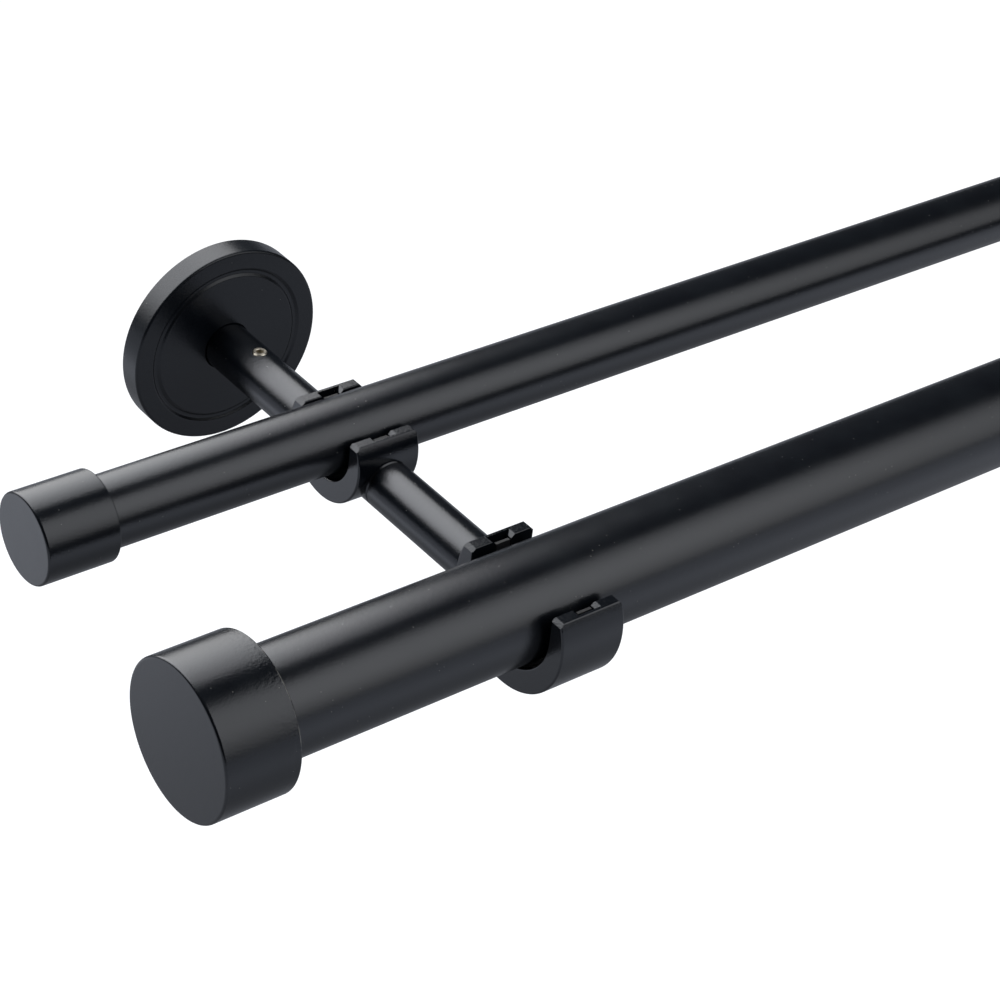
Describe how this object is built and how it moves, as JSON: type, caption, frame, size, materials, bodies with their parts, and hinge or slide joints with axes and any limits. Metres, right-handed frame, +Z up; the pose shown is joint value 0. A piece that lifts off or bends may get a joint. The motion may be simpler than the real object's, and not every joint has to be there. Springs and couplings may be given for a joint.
{
  "type": "double curtain pole",
  "caption": "Double curtain pole: a thick front pole and a thin rear pole with flat end caps, lying in open lined cradles on stemmed wall brackets with round roses.",
  "frame": {"origin": "middle of the left bracket's wall face, on the axis of its stem", "axes": "+X along the poles, +Y into the wall, +Z up"},
  "size_m": [1.207, 0.1647, 0.058],
  "materials": {
    "pole": "satin black powder coat on a steel tube",
    "cap": "black powder coat on a turned metal cap, flat satin end",
    "cradle": "black powder coat on a zinc die casting",
    "stem": "black powder coat on a steel tube",
    "rose": "black powder coat on a pressed steel cover",
    "liner": "black moulded nylon strip",
    "plate": "bright zinc-plated steel",
    "grub_screw": "bright nickel-plated steel"
  },
  "bodies": {
    "root": {"front_pole": "pole", "rear_pole": "pole", "left_wall_plate": "plate", "left_rose": "rose", "left_wall_stem": "stem", "left_grub_screw": "grub_screw", "left_middle_stem": "stem", "left_rear_cradle": "cradle", "left_front_cradle": "cradle", "left_rear_liner": "liner", "left_front_liner": "liner", "left_front_cap": "cap", "left_rear_cap": "cap", "right_wall_plate": "plate", "right_rose": "rose", "right_wall_stem": "stem", "right_grub_screw": "grub_screw", "right_middle_stem": "stem", "right_rear_cradle": "cradle", "right_front_cradle": "cradle", "right_rear_liner": "liner", "right_front_liner": "liner", "right_front_cap": "cap", "right_rear_cap": "cap"}
  },
  "joints": []
}
